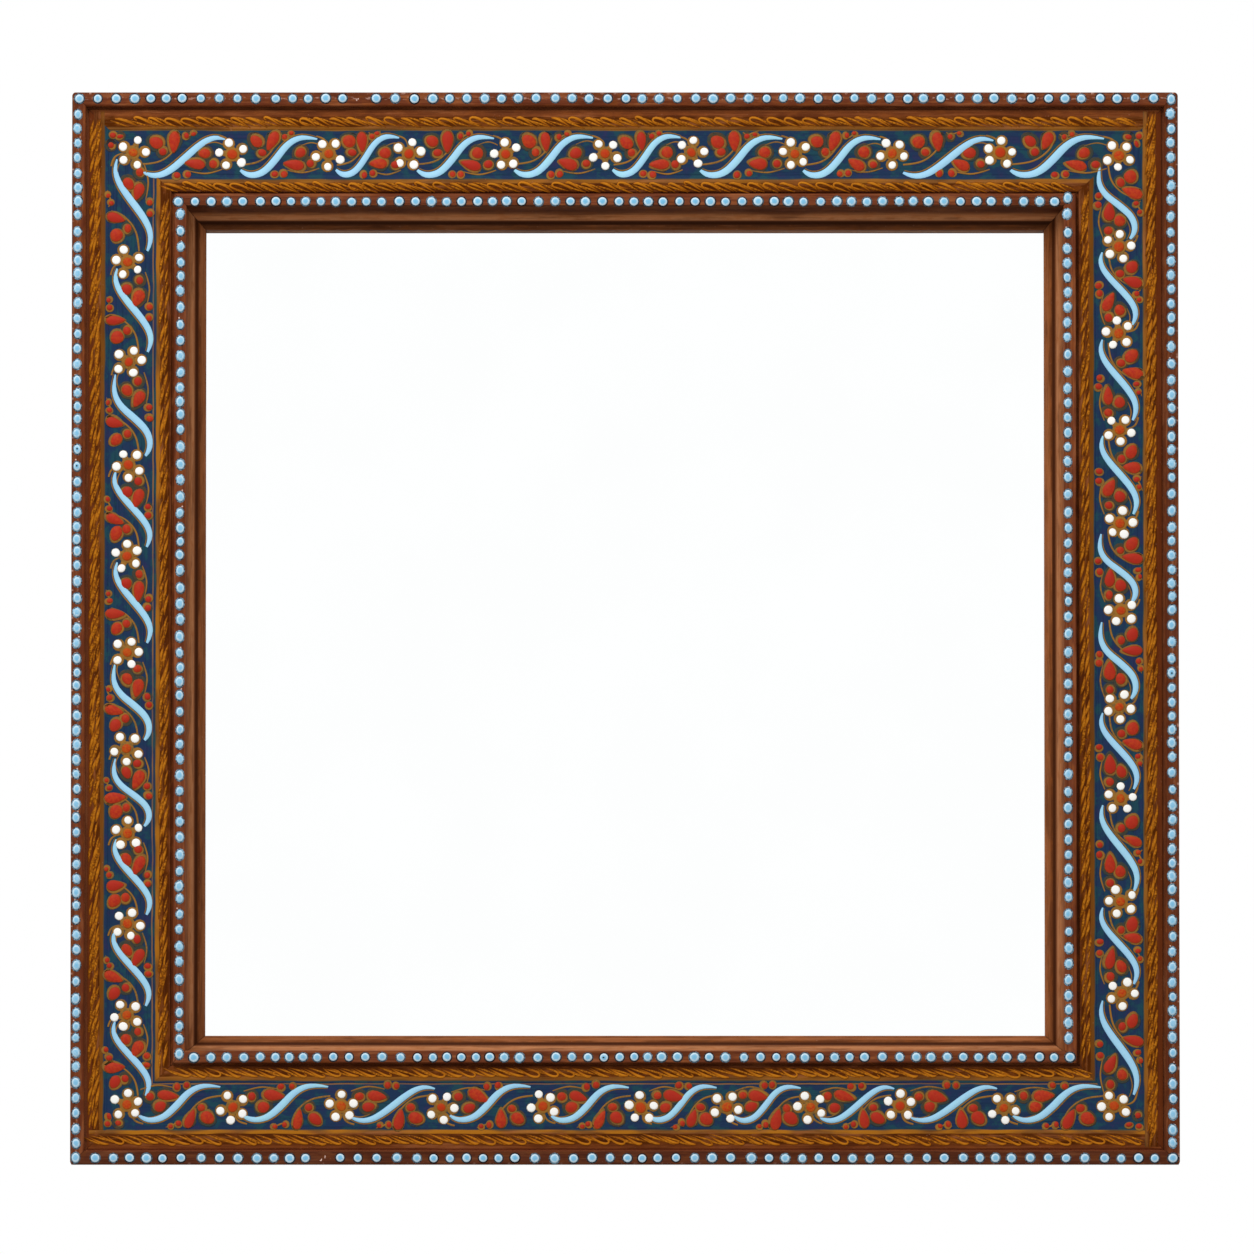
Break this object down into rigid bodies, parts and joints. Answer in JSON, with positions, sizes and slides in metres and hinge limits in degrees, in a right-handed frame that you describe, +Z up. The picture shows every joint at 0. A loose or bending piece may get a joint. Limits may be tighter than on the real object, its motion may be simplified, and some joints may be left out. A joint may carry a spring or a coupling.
{
  "type": "wall mirror",
  "caption": "Square wall mirror in a wide mitred wooden frame with painted scroll border and raised enamel dots, held by turn buttons and hung by swinging D rings.",
  "frame": {"origin": "centre of the frame's outline, on the wall plane behind it", "axes": "+X to the right as seen from the front, +Y into the wall, so the front faces -Y, +Z up"},
  "size_m": [0.5, 0.0359, 0.488],
  "materials": {
    "painted_wood": "hand-painted and varnished softwood moulding: brown beads, ochre rope bands, navy panel",
    "nail_steel": "plain steel V nails, dull",
    "mirror_glass": "silvered float glass, 3 mm",
    "grey_card": "grey pulp card, matt",
    "hardboard": "brown hardboard, smooth side out",
    "zinc_steel": "zinc-plated pressed steel",
    "ring_steel": "zinc-plated steel wire",
    "screw_brass": "slotted round-head brass screws, a little dull",
    "bumper_rubber": "black rubber, matt",
    "blue_enamel": "thick light blue enamel paint, glossy drops",
    "white_enamel": "thick off-white enamel paint, glossy drops",
    "ribbon_enamel": "light blue enamel brush strokes, satin"
  },
  "bodies": {
    "frame": {"top_rail": "painted_wood", "right_rail": "painted_wood", "bottom_rail": "painted_wood", "left_rail": "painted_wood", "corner_v_nails": "nail_steel", "mirror_glass": "mirror_glass", "card_sheet": "grey_card", "backing_board": "hardboard", "turn_button_screws": "screw_brass", "hanger_strap_left": "zinc_steel", "hanger_strap_right": "zinc_steel", "hanger_screws": "screw_brass", "bumper_top_left": "bumper_rubber", "bumper_top_right": "bumper_rubber", "bumper_bottom_left": "bumper_rubber", "bumper_bottom_right": "bumper_rubber", "outer_dots_top": "blue_enamel", "outer_dots_right": "blue_enamel", "outer_dots_bottom": "blue_enamel", "outer_dots_left": "blue_enamel", "inner_dots_top": "blue_enamel", "inner_dots_right": "blue_enamel", "inner_dots_bottom": "blue_enamel", "inner_dots_left": "blue_enamel", "petals_top": "white_enamel", "petals_right": "white_enamel", "petals_bottom": "white_enamel", "petals_left": "white_enamel", "ribbons_top": "ribbon_enamel", "ribbons_right": "ribbon_enamel", "ribbons_bottom": "ribbon_enamel", "ribbons_left": "ribbon_enamel"},
    "turn_button_1": {"turn_button_1": "zinc_steel"},
    "turn_button_2": {"turn_button_2": "zinc_steel"},
    "turn_button_3": {"turn_button_3": "zinc_steel"},
    "turn_button_4": {"turn_button_4": "zinc_steel"},
    "turn_button_5": {"turn_button_5": "zinc_steel"},
    "turn_button_6": {"turn_button_6": "zinc_steel"},
    "turn_button_7": {"turn_button_7": "zinc_steel"},
    "turn_button_8": {"turn_button_8": "zinc_steel"},
    "ring_left": {"ring_left": "ring_steel"},
    "ring_right": {"ring_right": "ring_steel"}
  },
  "joints": [
    {"name": "turn_button_1_turn", "type": "hinge", "parent": "frame", "child": "turn_button_1", "pos_m": [-0.16, -0.0042, 0.1985], "axis": [0, 1, 0], "continuous": true},
    {"name": "turn_button_2_turn", "type": "hinge", "parent": "frame", "child": "turn_button_2", "pos_m": [0.16, -0.0042, 0.1985], "axis": [0, 1, 0], "continuous": true},
    {"name": "turn_button_3_turn", "type": "hinge", "parent": "frame", "child": "turn_button_3", "pos_m": [0.2045, -0.0042, 0.154], "axis": [0, 1, 0], "continuous": true},
    {"name": "turn_button_4_turn", "type": "hinge", "parent": "frame", "child": "turn_button_4", "pos_m": [0.2045, -0.0042, -0.154], "axis": [0, 1, 0], "continuous": true},
    {"name": "turn_button_5_turn", "type": "hinge", "parent": "frame", "child": "turn_button_5", "pos_m": [0.16, -0.0042, -0.1985], "axis": [0, 1, 0], "continuous": true},
    {"name": "turn_button_6_turn", "type": "hinge", "parent": "frame", "child": "turn_button_6", "pos_m": [-0.16, -0.0042, -0.1985], "axis": [0, 1, 0], "continuous": true},
    {"name": "turn_button_7_turn", "type": "hinge", "parent": "frame", "child": "turn_button_7", "pos_m": [-0.2045, -0.0042, -0.154], "axis": [0, 1, 0], "continuous": true},
    {"name": "turn_button_8_turn", "type": "hinge", "parent": "frame", "child": "turn_button_8", "pos_m": [-0.2045, -0.0042, 0.154], "axis": [0, 1, 0], "continuous": true},
    {"name": "ring_left_swing", "type": "hinge", "parent": "frame", "child": "ring_left", "pos_m": [-0.222, -0.0028, 0.094], "axis": [1, 0, 0], "range_deg": [0, 180]},
    {"name": "ring_right_swing", "type": "hinge", "parent": "frame", "child": "ring_right", "pos_m": [0.222, -0.0028, 0.094], "axis": [1, 0, 0], "range_deg": [0, 180]}
  ]
}
